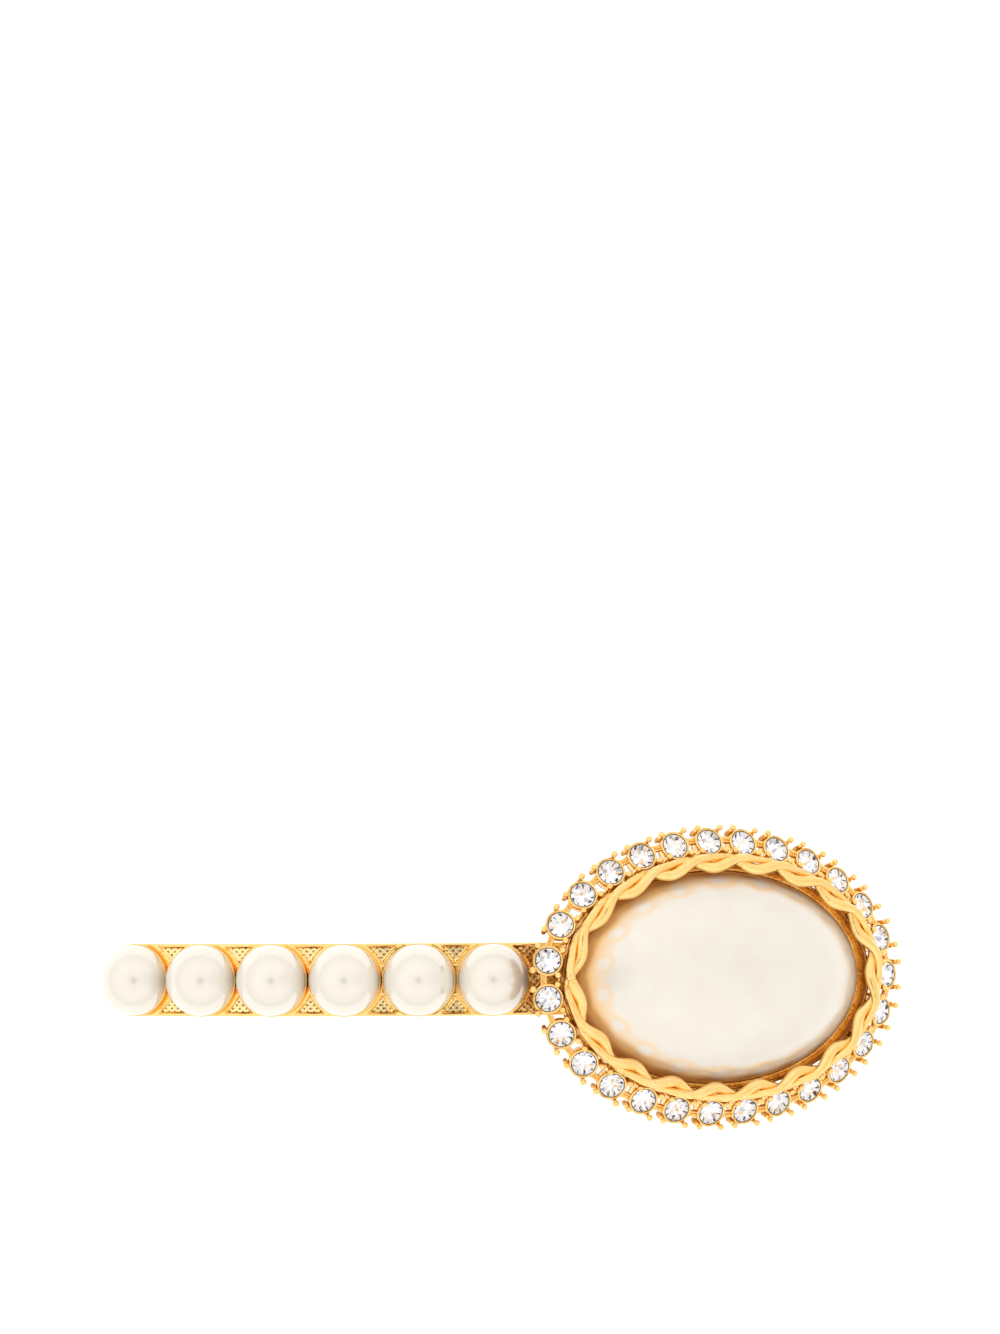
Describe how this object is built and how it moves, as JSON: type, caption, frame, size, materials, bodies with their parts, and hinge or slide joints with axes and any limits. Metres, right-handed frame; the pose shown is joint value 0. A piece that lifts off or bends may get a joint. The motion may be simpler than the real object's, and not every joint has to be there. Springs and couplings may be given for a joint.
{
  "type": "barrette",
  "caption": "Curved gilt hair barrette with a row of half-round pearls, an oval pearl medallion in a crystal halo, and a sprung clip with a hinged arm and pinch catch underneath.",
  "frame": {"origin": "Bottom centre of the whole object's bounding box, with the barrette lying on its clip", "axes": "+X along the barrette towards the oval medallion, +Y across the bar, +Z outward through the pearls, up when it lies on its clip"},
  "size_m": [0.0894, 0.0338, 0.0226],
  "materials": {
    "gilt": "polished yellow gold plating on cast brass",
    "clip_metal": "gold-toned sheet metal, satin",
    "pearl": "imitation pearl, cream, glossy",
    "crystal": "clear faceted glass with a foiled back"
  },
  "bodies": {
    "barrette": {"front_bar": "gilt", "pearl_cup_1": "gilt", "pearl_cup_2": "gilt", "pearl_cup_3": "gilt", "pearl_cup_4": "gilt", "pearl_cup_5": "gilt", "pearl_cup_6": "gilt", "medallion_saddle": "gilt", "medallion_back_plate": "gilt", "oval_bezel": "gilt", "rim_strand_1": "gilt", "rim_strand_2": "gilt", "halo_setting": "gilt", "clip_base": "clip_metal", "hinge_pin": "clip_metal", "catch_plate": "clip_metal", "bow_spring": "clip_metal", "catch_rivet": "clip_metal", "bow_rivet": "clip_metal", "pearl_1": "pearl", "pearl_2": "pearl", "pearl_3": "pearl", "pearl_4": "pearl", "pearl_5": "pearl", "pearl_6": "pearl", "oval_pearl": "pearl", "crystal_01": "crystal", "crystal_02": "crystal", "crystal_03": "crystal", "crystal_04": "crystal", "crystal_05": "crystal", "crystal_06": "crystal", "crystal_07": "crystal", "crystal_08": "crystal", "crystal_09": "crystal", "crystal_10": "crystal", "crystal_11": "crystal", "crystal_12": "crystal", "crystal_13": "crystal", "crystal_14": "crystal", "crystal_15": "crystal", "crystal_16": "crystal", "crystal_17": "crystal", "crystal_18": "crystal", "crystal_19": "crystal", "crystal_20": "crystal", "crystal_21": "crystal", "crystal_22": "crystal", "crystal_23": "crystal", "crystal_24": "crystal", "crystal_25": "crystal", "crystal_26": "crystal", "crystal_27": "crystal"},
    "arm": {"clip_arm": "clip_metal"},
    "wing_left": {"catch_wing_left": "clip_metal"},
    "wing_right": {"catch_wing_right": "clip_metal"}
  },
  "joints": [
    {"name": "arm_hinge", "type": "hinge", "parent": "barrette", "child": "arm", "pos_m": [0.02589, 0, 0.0017], "axis": [0, -1, 0], "range_deg": [0, 65]},
    {"name": "catch_pinch_left", "type": "hinge", "parent": "barrette", "child": "wing_left", "pos_m": [-0.03787, 0.00135, 0.0069], "axis": [-0.9254, 0, -0.379], "range_deg": [0, 5], "stiffness_Nm_per_rad": 0.02},
    {"name": "catch_pinch_right", "type": "hinge", "parent": "barrette", "child": "wing_right", "pos_m": [-0.03787, -0.00135, 0.0069], "axis": [0.9254, 0, 0.379], "range_deg": [0, 5], "stiffness_Nm_per_rad": 0.02}
  ],
  "couplings": [
    {"joint": "catch_pinch_right", "follows": "catch_pinch_left", "ratio": 1}
  ]
}
